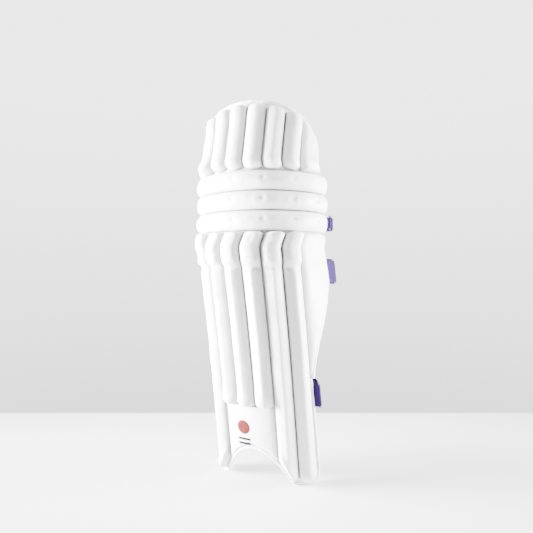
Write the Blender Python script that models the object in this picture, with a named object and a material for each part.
"""Cricket batting leg pad: shin section, three knee rolls, top hat, wing and three straps.

Metres, +Z up. The front of the pad faces -Y and its outer (lateral) side is +X. The origin is on
the floor, under the middle of the pad. The pad is a shell bent round the leg, so most shapes are
given in shell coordinates: s, the distance round the front from the centre line (positive to the
lateral side), z, the height, and d, the distance out from the front face of the backing board.
"""
import math

import bmesh
import bpy
from mathutils import Vector

# ---- driving dimensions --------------------------------------------------------------------
GAP = 0.0003                 # clearance between pieces that touch
PLACE = Vector((0.0194, 0.0503, 0.0))   # moves the shell so that the origin is under its middle

TOE_RADIUS = 0.130           # radius of the shell at the toes
SHIN_TAPER = 0.0227          # loss of radius for each metre of height on the shin
SHIN_LEAN = 0.0173           # forward slope of the shin at the toes
SHIN_BOW = 0.0983            # growth of that slope with height
KNEE_RADIUS = 0.115
KNEE_FRONT = -0.158          # y of the board behind the knee rolls, if they went down to the floor
KNEE_LEAN = 0.025            # backward slope of the knee
HAT_RADIUS = 0.120
HAT_FRONT = -0.1545          # y of the top hat's board just above the knee
HAT_LEAN = 0.2342            # backward slope of the top hat
SIDE_LEAN = -0.0775          # sideways slope of the shin, towards the medial side
KNEE_SIDE = -0.0220          # x of the knee's middle, if it went down to the floor
KNEE_SIDE_LEAN = -0.0125     # sideways slope of the knee and the top hat
BLEND_BELOW = 0.035          # height over which the shin turns into the knee
BLEND_ABOVE = 0.020          # height over which the knee turns into the top hat

KNEE_SEAMS = (0.4523, 0.4895, 0.5247, 0.5611)   # crevices below, between and above the rolls
CHANNEL_PITCH_TOE = 0.0330
CHANNEL_PITCH_TOP = 0.0357
CHANNEL_PITCH_HEIGHT = 0.440
HAT_PITCH = 0.0341
SHORT_CHANNEL_FOOT = 0.136   # where the three middle channels end, above the instep panel
HEAD_BOTTOM = 0.397          # below this the channels are slim, above it they swell
SLIM_CROWN = 0.0125
HEAD_CROWN = 0.0165
HAT_CROWN = 0.0130
ROLL_CROWN = 0.0165

ARCH_HEIGHT = 0.0615         # top of the instep arch
ARCH_CENTRE = 0.004
ARCH_HALF_WIDTH = 0.069

DOME_CENTRE = 0.012          # the top hat's rounded outline
DOME_HALF_WIDTH = 0.163
DOME_HEIGHT = 0.1320
DOME_POWER = 2.2
HAT_SIDE = 0.155             # the dome's straight sides stand this far from its centre

KNEE_AXIS_DEPTH = 0.149      # the knee's hinges run across this far behind the board's front
BOARD = 0.006                # thickness of the backing board
CUSHION_GAP = 0.0020         # air between the board and the cushions behind it
MEDIAL_EDGE_TOE = -0.105
MEDIAL_EDGE_TOP = -0.125
LATERAL_EDGE = 0.1255
WING_FOOT = 0.185            # height where the wing's point starts
WING_FULL = 0.360            # height where the wing reaches its full width
WING_EDGE = 0.2155
WING_FLARE = 1.43
WING_THICK = 0.0085
WING_AXIS_AHEAD = 0.002      # the wing bends about a line that starts this far in front of its seam
WALL_SETBACK = 0.008         # the board under the wing stops this far short of the wing's edge
ROLL_MEDIAL = -0.150
ROLL_LATERAL = 0.205

STRAP_THICK = 0.0024
BAR = 0.0024                 # thickness of a ring's bars
TAIL_LENGTH = 0.085
# centre height, width, place of the ring's rear bar, direction of the band as it leaves it,
# distance that the band reaches back
PIPING_RADIUS = 0.0018
PIPING_DEPTH = 0.0024                # how far the piping's middle stands out from the boards
CUSHION_THICK = 0.016                # knee and top hat lining cushions
KNEE_CUSHION_SPAN = (-0.100, 0.110)
HAT_CUSHION_SPAN = (-0.092, 0.112)
SHIN_CUSHION_FOOT = 0.075
INSTEP_SPAN = (-0.047, 0.049)
BADGE_SPAN = (-0.024, 0.004)
BADGE_HEIGHTS = (0.066, 0.112)
BADGE_DEPTH = 0.0053
BADGE_THICK = 0.0010
STRAPS = {
    "knee": (0.4750, 0.028, (0.0942, 0.0178), (-0.10, 0.995), 0.085),
    "calf": (0.3790, 0.052, (0.0961, 0.0289), (-0.25, 0.968), 0.100),
    "ankle": (0.1550, 0.050, (0.0988, -0.0655), (-0.50, 0.866), 0.110),
}


# ---- shell geometry --------------------------------------------------------------------------
def smooth(t):
    t = min(1.0, max(0.0, t))
    return t * t * (3.0 - 2.0 * t)


def mix(a, b, t):
    return a + (b - a) * t


def shell_radius(z):
    below = smooth((z - KNEE_SEAMS[0] + BLEND_BELOW) / BLEND_BELOW)
    above = smooth((z - KNEE_SEAMS[3]) / BLEND_ABOVE)
    return mix(mix(TOE_RADIUS - SHIN_TAPER * z, KNEE_RADIUS, below), HAT_RADIUS, above)


def shell_front(z):
    below = smooth((z - KNEE_SEAMS[0] + BLEND_BELOW) / BLEND_BELOW)
    above = smooth((z - KNEE_SEAMS[3]) / BLEND_ABOVE)
    shin = -(TOE_RADIUS + SHIN_LEAN * z + SHIN_BOW * z * z)
    hat = HAT_FRONT + HAT_LEAN * (z - KNEE_SEAMS[3])
    return mix(mix(shin, KNEE_FRONT + KNEE_LEAN * z, below), hat, above)


def shell_side(z):
    below = smooth((z - KNEE_SEAMS[0] + BLEND_BELOW) / BLEND_BELOW)
    return mix(SIDE_LEAN * z, KNEE_SIDE + KNEE_SIDE_LEAN * z, below)


def shell(s, z, d=0.0):
    """The point at s round the shell, at height z and d out from the board's front face."""
    radius = shell_radius(z)
    angle = s / radius
    x = shell_side(z) + (radius + d) * math.sin(angle)
    y = shell_front(z) + radius - (radius + d) * math.cos(angle)
    return Vector((x, y, z))


def arch(s):
    """Height of the toe edge: the instep arch in the middle, the floor at both toes."""
    return max(0.0, ARCH_HEIGHT * (1.0 - ((s - ARCH_CENTRE) / ARCH_HALF_WIDTH) ** 2))


def dome(s):
    """Height of the top hat's outline."""
    across = min(1.0, abs(s - DOME_CENTRE) / DOME_HALF_WIDTH)
    return KNEE_SEAMS[3] + DOME_HEIGHT * (1.0 - across ** DOME_POWER) ** (1.0 / DOME_POWER)


def pitch(z):
    return mix(CHANNEL_PITCH_TOE, CHANNEL_PITCH_TOP, z / CHANNEL_PITCH_HEIGHT)


def medial_edge(z):
    return mix(MEDIAL_EDGE_TOE, MEDIAL_EDGE_TOP, z / CHANNEL_PITCH_HEIGHT)


def wing_edge(z):
    t = min(1.0, max(0.0, (z - WING_FOOT) / (WING_FULL - WING_FOOT)))
    return mix(LATERAL_EDGE + 0.0025, WING_EDGE, t ** WING_FLARE)


def wing_seam(z):
    return 3.5 * pitch(z) + 0.0010


def lateral_edge(z):
    return max(LATERAL_EDGE, wing_edge(z) - WALL_SETBACK)


def steps(low, high, count):
    return [mix(low, high, i / count) for i in range(count + 1)]


# ---- making objects --------------------------------------------------------------------------
def clear_scene():
    for item in list(bpy.data.objects):
        bpy.data.objects.remove(item, do_unlink=True)


def make_material(name, colour, roughness, metallic=0.0):
    material = bpy.data.materials.new(name)
    material.use_nodes = True
    shader = material.node_tree.nodes["Principled BSDF"]
    shader.inputs["Base Color"].default_value = (*colour, 1.0)
    shader.inputs["Roughness"].default_value = roughness
    shader.inputs["Metallic"].default_value = metallic
    material.diffuse_color = (*colour, 1.0)
    return material


def finish_object(name, work, material, parent):
    """Turns the working mesh into an object whose origin is its parent's place."""
    bmesh.ops.triangulate(work, faces=work.faces[:])
    bmesh.ops.recalc_face_normals(work, faces=work.faces[:])
    shift = PLACE if parent is None else PLACE - parent.location
    bmesh.ops.translate(work, vec=shift, verts=work.verts[:])
    mesh = bpy.data.meshes.new(name)
    work.to_mesh(mesh)
    work.free()
    mesh.materials.append(material)
    item = bpy.data.objects.new(name, mesh)
    bpy.context.collection.objects.link(item)
    item.parent = parent
    return item


def bridge_rings(work, rings):
    for ring, following in zip(rings, rings[1:]):
        for i in range(len(ring)):
            j = (i + 1) % len(ring)
            work.faces.new((ring[i], ring[j], following[j], following[i]))


def loft(name, rows, caps, material, parent=None):
    """A closed solid from rings of equally many points, bridged in order. Its ends are capped, or
    joined to each other where caps is False."""
    work = bmesh.new()
    rings = [[work.verts.new(point) for point in row] for row in rows]
    if caps:
        bridge_rings(work, rings)
        work.faces.new(list(reversed(rings[0])))
        work.faces.new(rings[-1])
    else:
        bridge_rings(work, rings + [rings[0]])
    return finish_object(name, work, material, parent)


def slab(name, columns, inner, outer, material, parent=None):
    """A slab of the shell. Each column is a list of (s, z) points from bottom to top. inner and
    outer are functions of u and v, 0 to 1 across and up the slab, that give d."""
    across = len(columns) - 1
    up = len(columns[0]) - 1
    work = bmesh.new()
    rings = []
    for i, column in enumerate(columns):
        front = [shell(s, z, outer(i / across, j / up)) for j, (s, z) in enumerate(column)]
        back = [shell(s, z, inner(i / across, j / up)) for j, (s, z) in enumerate(column)]
        rings.append([work.verts.new(point) for point in front + back[::-1]])
    bridge_rings(work, rings)
    last = 2 * up + 1
    for ring in (rings[0], rings[-1]):
        for j in range(up):
            work.faces.new((ring[j], ring[j + 1], ring[last - 1 - j], ring[last - j]))
    return finish_object(name, work, material, parent)


def upright(s, low, high, count):
    """A column of a slab: evenly spaced points at one s."""
    return [(s, z) for z in steps(low, high, count)]


def constant(value):
    return lambda u, v: value


def crowned(base, height, edge_share=0.25):
    """Outer surface that rises from its edges to a crown."""
    def surface(u, v):
        round_u = math.sin(math.pi * u) ** 0.5 if 0.0 < u < 1.0 else 0.0
        round_v = math.sin(math.pi * v) ** 0.5 if 0.0 < v < 1.0 else 0.0
        return base + height * mix(edge_share, 1.0, round_u * round_v)
    return surface


def tube(name, path, radius, sides, material, parent=None):
    """A round bar along a path of points."""
    rows = []
    up = Vector((0.0, 0.0, 1.0))
    for i, point in enumerate(path):
        ahead = (path[min(i + 1, len(path) - 1)] - path[max(i - 1, 0)]).normalized()
        side = ahead.cross(up)
        if side.length < 0.2:
            side = ahead.cross(Vector((1.0, 0.0, 0.0)))
        side.normalize()
        other = side.cross(ahead).normalized()
        rows.append([point + radius * (math.cos(a) * side + math.sin(a) * other)
                     for a in steps(0.0, 2.0 * math.pi, sides)[:-1]])
    return loft(name, rows, True, material, parent)


def joint_empty(name, place):
    empty = bpy.data.objects.new(name, None)
    empty.location = place + PLACE
    bpy.context.collection.objects.link(empty)
    return empty


# ---- channels with their stiffening rods --------------------------------------------------------
CROWN_PROFILE = ((-1.0, 0.0), (-0.86, 0.42), (-0.45, 0.86), (0.0, 1.0),
                 (0.45, 0.86), (0.86, 0.42), (1.0, 0.0), (0.0, -0.02))
BORE_RADIUS = 0.0034
ROD_RADIUS = 0.0028
ROD_DEPTH = 0.0050
ROD_TOP = 0.412
# Pieces that lie on each other share these heights where the shell bends, so that their facets
# stay parallel.
KNEE_LEVELS = [0.4172, 0.4285, 0.4400]
HAT_LEVELS = [0.5651, 0.5720, 0.5811]


def profile_ring(s_mid, width, height, crown):
    """One ring of a channel's surface; height is a function of s."""
    ring = []
    for across, rise in CROWN_PROFILE:
        s = s_mid + across * (width / 2.0 - GAP)
        ring.append(shell(s, height(s), GAP + max(0.0, 0.0008 + rise * crown)))
    return ring


def bore_ring(s_mid, height):
    ring = []
    for across, rise in CROWN_PROFILE:
        angle = math.atan2(rise - 0.45, across) if rise >= 0.0 else -math.pi / 2.0
        s = s_mid + BORE_RADIUS * math.cos(angle)
        ring.append(shell(s, height(s), ROD_DEPTH + BORE_RADIUS * math.sin(angle)))
    return ring


def long_foot(s):
    """Lower end of the channels that run down to the toes."""
    return arch(s) + 0.0075 if arch(s) > 0.0 else 0.0


def short_foot(_):
    """Lower end of the three middle channels, the same all the way across."""
    return SHORT_CHANNEL_FOOT


def shin_crown(z):
    swell = smooth((z - HEAD_BOTTOM + 0.015) / 0.03)
    top = smooth((KNEE_SEAMS[0] - z) / 0.020)
    return mix(SLIM_CROWN, HEAD_CROWN, swell) * mix(0.80, 1.0, top)


def make_shin_channels(leather, cane):
    top = KNEE_SEAMS[0] - 0.001
    for number in range(6):
        offset = number - 2
        foot = short_foot if offset in (-1, 0, 1) else long_foot
        levels = [z for z in (0.07, 0.12, 0.17, 0.23, 0.30, 0.36, 0.395) if z > foot(0.0) + 0.02
                  or foot is long_foot]
        heights = [foot, lambda s, f=foot: f(s) + 0.012]
        heights += [lambda s, z=z: z for z in levels + KNEE_LEVELS + [top]]
        outer = []
        bore = []
        for height in heights:
            z = height(offset * pitch(0.05))
            s_mid = offset * pitch(z)
            crown = shin_crown(z)
            outer.append(profile_ring(s_mid, pitch(z), height, crown))
            bore.append(bore_ring(s_mid, height))
        loft(f"shin_channel_{number + 1}", outer + bore[::-1], False, leather)
        inner_side = offset * pitch(0.02) - 0.008 if offset > 0 else offset * pitch(0.02) + 0.008
        low = foot(inner_side) + 0.003
        path = [shell(offset * pitch(z), z, ROD_DEPTH)
                for z in [low] + [z for z in levels if z > low + 0.01] + [ROD_TOP]]
        tube(f"shin_cane_{number + 1}", path, ROD_RADIUS, 6, cane)


def make_hat_channels(leather, hinge):
    for number in range(6):
        s_mid = (number - 2) * HAT_PITCH

        def head(s):
            return dome(s) - 0.014

        rows = []
        for z in HAT_LEVELS:
            crown = HAT_CROWN * mix(0.80, 1.0, smooth((z - HAT_LEVELS[0]) / 0.010))
            rows.append(profile_ring(s_mid, HAT_PITCH, lambda s, z=z: z, crown))
        for share in (0.5, 0.88, 1.0):
            crown = HAT_CROWN * mix(1.0, 0.80, smooth((share - 0.88) / 0.12))
            rows.append(profile_ring(s_mid, HAT_PITCH,
                                     lambda s, t=share: mix(HAT_LEVELS[-1], head(s), t), crown))
        loft(f"hat_channel_{number + 1}", rows, True, leather, hinge)


# ---- boards, panels and cushions ------------------------------------------------------------------
def make_shin_board(canvas):
    levels = [0.0, 0.06, 0.13, 0.16, 0.19, 0.23, 0.27, 0.31, 0.36, 0.395]
    levels += KNEE_LEVELS + [KNEE_SEAMS[0] - GAP]
    foot = ARCH_CENTRE - ARCH_HALF_WIDTH
    far_foot = ARCH_CENTRE + ARCH_HALF_WIDTH
    toe_stations = steps(MEDIAL_EDGE_TOE, foot, 3)[:-1] + steps(foot, far_foot, 7)
    toe_stations += steps(far_foot, LATERAL_EDGE, 4)[1:]
    columns = []
    for toe_s in toe_stations:
        u = (toe_s - MEDIAL_EDGE_TOE) / (LATERAL_EDGE - MEDIAL_EDGE_TOE)
        column = []
        for level in levels:
            if level < 0.13:
                column.append((toe_s, mix(arch(toe_s), 0.13, level / 0.13)))
            else:
                column.append((mix(medial_edge(level), lateral_edge(level), u), level))
        columns.append(column)
    slab("shin_board", columns, constant(-BOARD), constant(0.0), canvas)


def make_instep(leather, badge):
    columns = [upright(s, arch(s) + 0.004, SHORT_CHANNEL_FOOT - 0.0012, 4)
               for s in steps(*INSTEP_SPAN, 8)]
    slab("instep_panel", columns, constant(GAP), crowned(GAP, 0.0045, 0.4), leather)
    columns = [upright(s, *BADGE_HEIGHTS, 2) for s in steps(*BADGE_SPAN, 4)]
    slab("instep_badge", columns, constant(BADGE_DEPTH), constant(BADGE_DEPTH + BADGE_THICK), badge)


def cushion(name, columns, thick, material, parent=None):
    """A cushion on the leg side of the board, thicker in the middle than at its edges."""
    rise = crowned(0.0, thick, 0.4)
    slab(name, columns, lambda u, v: -BOARD - CUSHION_GAP - rise(u, v),
         constant(-BOARD - CUSHION_GAP), material, parent)


def make_shin_cushions(lining):
    for name, low_s, high_s, thick in (("shin_bolster_medial", -0.080, -0.042, 0.024),
                                       ("shin_cushion_centre", -0.039, 0.041, 0.012),
                                       ("shin_bolster_lateral", 0.044, 0.098, 0.024)):
        columns = [upright(s, SHIN_CUSHION_FOOT, KNEE_LEVELS[0], 6) for s in steps(low_s, high_s, 5)]
        cushion(name, columns, thick, lining)


def make_wing(leather, piping, hinge):
    levels = [WING_FOOT + 0.006, 0.22, 0.255, 0.29, 0.325, 0.36, 0.395]
    levels += KNEE_LEVELS + [KNEE_SEAMS[0] - 0.0012]
    columns = [[(mix(wing_seam(z), wing_edge(z) - 0.0025, u), z) for z in levels]
               for u in (0.0, 0.2, 0.4, 0.6, 0.8, 1.0)]
    slab("wing_panel", columns, constant(0.0009), crowned(0.0009, WING_THICK, 0.5), leather, hinge)
    path = [shell(wing_edge(z) + 0.0004, z, 0.0034) for z in levels[:-1]]
    tube("wing_piping", path, PIPING_RADIUS, 5, piping, hinge)


def make_edge_bindings(piping):
    path = [shell(s, arch(s) + 0.0005, PIPING_DEPTH)
            for s in steps(ARCH_CENTRE - 0.0620, ARCH_CENTRE + 0.0620, 14)]
    tube("arch_binding", path, PIPING_RADIUS, 5, piping)
    path = [shell(medial_edge(z) + 0.0022, z, PIPING_DEPTH)
            for z in [0.003, 0.06, 0.13, 0.19, 0.27, 0.36, 0.395] + KNEE_LEVELS]
    tube("medial_piping", path, PIPING_RADIUS, 5, piping)
    path = [shell(LATERAL_EDGE - 0.0022, z, PIPING_DEPTH) for z in steps(0.003, 0.180, 5)]
    tube("lateral_piping", path, PIPING_RADIUS, 5, piping)


def make_knee(leather, canvas, lining, hinges):
    stations = steps(ROLL_MEDIAL, ROLL_LATERAL, 12)
    for number in range(3):
        low = KNEE_SEAMS[number] + GAP
        high = KNEE_SEAMS[number + 1] - GAP
        hinge = hinges[number]
        rows = []
        for i, s in enumerate(stations):
            at_end = i in (0, len(stations) - 1)
            crown = ROLL_CROWN * (0.45 if at_end else 1.0)
            row = []
            for a in (0.0, 0.18, 0.36, 0.5, 0.64, 0.82, 1.0):
                rise = math.sin(math.pi * a) ** 0.6 if 0.0 < a < 1.0 else 0.0
                row.append(shell(s, mix(low, high, a), 0.0010 + crown * rise))
            rows.append(row + [shell(s, high, GAP), shell(s, low, GAP)])
        loft(f"knee_roll_{number + 1}", rows, True, leather, hinge)
        columns = [upright(s, low, high, 1) for s in stations]
        slab(f"knee_backing_{number + 1}", columns, constant(-BOARD), constant(0.0), canvas, hinge)
        columns = [upright(s, low, high, 3) for s in steps(*KNEE_CUSHION_SPAN, 8)]
        cushion(f"knee_cushion_{number + 1}", columns, CUSHION_THICK, lining, hinge)


def hat_column(s, levels, high, count):
    """Heights of a top hat column: the shared levels, then evenly spaced ones up to high."""
    return [(s, z) for z in levels + steps(HAT_LEVELS[-1], high, count)[1:]]


def make_hat(leather, canvas, lining, piping, hinge):
    low = DOME_CENTRE - HAT_SIDE
    high = DOME_CENTRE + HAT_SIDE
    between = [(k - 2.5) * HAT_PITCH for k in range(7)]
    stations = [low, low + 0.008, low + 0.025] + between
    stations += [high - 0.032, high - 0.018, high - 0.006, high]
    base = KNEE_SEAMS[3] + GAP
    columns = [hat_column(s, [base] + HAT_LEVELS, dome(s), 4) for s in stations]
    slab("hat_board", columns, constant(-BOARD), constant(0.0), canvas, hinge)
    for name, low_s, high_s in (("hat_side_medial", -0.137, between[0] - 0.0006),
                                ("hat_side_lateral", between[-1] + 0.0006, 0.161)):
        columns = [hat_column(s, HAT_LEVELS, dome(s) - 0.006, 3) for s in steps(low_s, high_s, 4)]
        slab(name, columns, constant(0.0007), crowned(0.0007, 0.0065, 0.5), leather, hinge)
    columns = [hat_column(s, HAT_LEVELS, dome(s) - 0.022, 3) for s in steps(*HAT_CUSHION_SPAN, 7)]
    cushion("hat_cushion", columns, CUSHION_THICK, lining, hinge)
    path = [shell(s, dome(s) - 0.0024, 0.0029)
            for s in [DOME_CENTRE + 0.985 * HAT_SIDE * math.sin(a)
                      for a in steps(-math.pi / 2.0, math.pi / 2.0, 24)]]
    tube("hat_piping", path, PIPING_RADIUS, 5, piping, hinge)


# ---- straps ------------------------------------------------------------------------------------
BAR_CORNER = 0.72 * BAR              # from a bar's middle to its corner
TURN = BAR_CORNER + GAP + 0.0014     # radius of the band's fold round the ring's rear bar
TAB_THICK = 0.0014
TAB_TURN = BAR_CORNER + GAP + 0.0009
BAR_SPACING = 0.0094
PATCH_THICK = 0.0020
TAIL_OFFSET = STRAP_THICK + PATCH_THICK + 2.0 * GAP


def bezier(p0, p1, p2, p3, count):
    points = []
    for t in steps(0.0, 1.0, count):
        a = (1.0 - t) ** 3
        b = 3.0 * t * (1.0 - t) ** 2
        c = 3.0 * t * t * (1.0 - t)
        points.append(a * p0 + b * p1 + c * p2 + t ** 3 * p3)
    return points


def arc(centre, radius, start, end, count):
    return [centre + radius * Vector((math.cos(a), math.sin(a))) for a in steps(start, end, count)]


def beside(path, distances):
    """A plan path moved to its right-hand side, by its own distance at each point."""
    moved = []
    for i, point in enumerate(path):
        ahead = (path[min(i + 1, len(path) - 1)] - path[max(i - 1, 0)]).normalized()
        moved.append(point + distances[i] * Vector((ahead.y, -ahead.x)))
    return moved


def leaning(place, strap_z, h):
    """The point h above a strap's middle, where the strap leans as the pad does."""
    lean = (shell_front(strap_z + 0.01) - shell_front(strap_z - 0.01)) / 0.02
    side = (shell_side(strap_z + 0.01) - shell_side(strap_z - 0.01)) / 0.02
    return Vector((place.x + side * h, place.y + lean * h, strap_z + h))


def ribbon(name, path, thick, strap_z, width, material, parent=None):
    """A strip of webbing that stands on edge along a plan path."""
    right = beside(path, [thick / 2.0] * len(path))
    left = beside(path, [-thick / 2.0] * len(path))
    half = width / 2.0
    rows = [[leaning(a, strap_z, -half), leaning(a, strap_z, half),
             leaning(b, strap_z, half), leaning(b, strap_z, -half)] for a, b in zip(right, left)]
    return loft(name, rows, True, material, parent)


def ring_solid(name, bar_a, bar_b, strap_z, width, material, parent):
    """A flat rectangular ring: two upright bars joined above and below the strap."""
    along = (bar_b - bar_a).normalized() * BAR / 2.0
    across = Vector((along.y, -along.x))
    reach = width / 2.0 + 0.0012
    rows = []
    for depth in (across, -across):
        outer = [leaning(bar_a + depth - along, strap_z, -reach - BAR),
                 leaning(bar_b + depth + along, strap_z, -reach - BAR),
                 leaning(bar_b + depth + along, strap_z, reach + BAR),
                 leaning(bar_a + depth - along, strap_z, reach + BAR)]
        inner = [leaning(bar_a + depth + along, strap_z, -reach),
                 leaning(bar_b + depth - along, strap_z, -reach),
                 leaning(bar_b + depth - along, strap_z, reach),
                 leaning(bar_a + depth + along, strap_z, reach)]
        rows += [outer, inner] if depth == across else [inner, outer]
    return loft(name, rows, False, material, parent)


def make_strap(label, webbing, plastic, hook_tape, parent):
    strap_z, width, bar, direction, reach = STRAPS[label]
    medial = ROLL_MEDIAL if label == "knee" else medial_edge(strap_z)
    lateral = ROLL_LATERAL if label == "knee" else lateral_edge(strap_z)
    depth = -BOARD - 0.0024
    rear_bar = Vector(bar)
    back = Vector(direction).normalized()
    out = Vector((back.y, -back.x))

    # the band: sewn on inside the medial edge, round behind the leg, and back out round the bar
    anchor = [shell(s, strap_z, depth).xy for s in steps(medial - 0.004, medial + 0.026, 3)]
    leave = (anchor[0] - anchor[1]).normalized()
    start = rear_bar - out * TURN
    first = rear_bar + out * TURN
    corners = (start, start + back * reach, anchor[0] + leave * reach, anchor[0])
    turning = math.atan2(out.y, out.x)
    fold = arc(rear_bar, TURN, turning, turning - math.pi, 8)
    fine = bezier(*corners, 60)
    band = [first + back * 0.0025] + fold[:-1] + fine[::3] + anchor[1:]
    ribbon(f"{label}_strap_band", band, STRAP_THICK, strap_z, width, webbing, parent)

    # the tail: hinged where the fold ends, and held to the band by its hook patch
    run = [0.0]
    for a, b in zip(fine, fine[1:]):
        run.append(run[-1] + (b - a).length)
    offsets = [-mix(2.0 * TURN, TAIL_OFFSET, smooth(r / 0.022)) for r in run]
    outer = beside(fine, offsets)
    if (outer[0] - first).length > TURN:
        outer = beside(fine, [-d for d in offsets])
    hinge_at = first + back * 0.0029
    axis_at = hinge_at + out * STRAP_THICK / 2.0
    hinge = joint_empty(f"{label}_tail_axis", Vector((axis_at.x, axis_at.y, strap_z)))
    kept = [i for i, r in enumerate(run) if 0.005 < r < TAIL_LENGTH and i % 3 == 0]
    tail = [hinge_at] + [outer[i] for i in kept]
    ribbon(f"{label}_strap_tail", tail, STRAP_THICK, strap_z, width, webbing, hinge)
    under = [i for i in kept if run[i] > 0.030]
    share = (STRAP_THICK + PATCH_THICK) / 2.0 + GAP
    patch = [mix(fine[i], outer[i], share / TAIL_OFFSET) for i in under]
    ribbon(f"{label}_hook_patch", patch, PATCH_THICK, strap_z, width - 0.006, hook_tape, hinge)

    # the ring, and the tab that holds its front bar
    front_bar = rear_bar - back * BAR_SPACING
    ring_solid(f"{label}_ring", front_bar, rear_bar, strap_z, width, plastic, parent)
    seat = [shell(s, strap_z, depth).xy for s in steps(lateral - 0.022, lateral + 0.001, 2)]
    towards = seat[-1] - front_bar
    touch = math.acos(TAB_TURN / towards.length)
    begin = math.atan2(towards.y, towards.x) + touch
    wrap = arc(front_bar, TAB_TURN, begin, begin + 2.0 * (math.pi - touch) - 0.5, 8)
    ribbon(f"{label}_ring_tab", seat + wrap, TAB_THICK, strap_z, width - 0.004, webbing, parent)


# ---- the whole pad --------------------------------------------------------------------------------
def main():
    clear_scene()
    leather = make_material("white_pu_leather", (0.86, 0.86, 0.86), 0.42)
    canvas = make_material("backing_board", (0.80, 0.80, 0.81), 0.75)
    cane = make_material("cane", (0.62, 0.47, 0.28), 0.6)
    foam_cloth = make_material("mesh_lining", (0.78, 0.78, 0.80), 0.9)
    piping = make_material("edge_piping", (0.88, 0.88, 0.88), 0.38)
    strap = make_material("purple_webbing", (0.19, 0.09, 0.33), 0.8)
    ring = make_material("ring_plastic", (0.10, 0.07, 0.20), 0.35)
    hook = make_material("hook_tape", (0.16, 0.08, 0.28), 0.9)
    badge = make_material("badge", (0.75, 0.03, 0.05), 0.55)

    make_shin_board(canvas)
    make_shin_channels(leather, cane)
    make_instep(leather, badge)
    make_shin_cushions(foam_cloth)
    make_edge_bindings(piping)

    hinges = [joint_empty(f"knee_axis_{i + 1}", shell(0.0, z) + Vector((0.0, KNEE_AXIS_DEPTH, 0.0)))
              for i, z in enumerate(KNEE_SEAMS)]
    make_knee(leather, canvas, foam_cloth, hinges)
    make_hat(leather, canvas, foam_cloth, piping, hinges[3])
    make_hat_channels(leather, hinges[3])

    low = shell(wing_seam(WING_FOOT) - WING_AXIS_AHEAD, WING_FOOT, WING_THICK * 0.5)
    wing_axis = joint_empty("wing_axis", low)
    make_wing(leather, piping, wing_axis)

    make_strap("knee", strap, ring, hook, hinges[0])
    make_strap("calf", strap, ring, hook, None)
    make_strap("ankle", strap, ring, hook, None)


main()
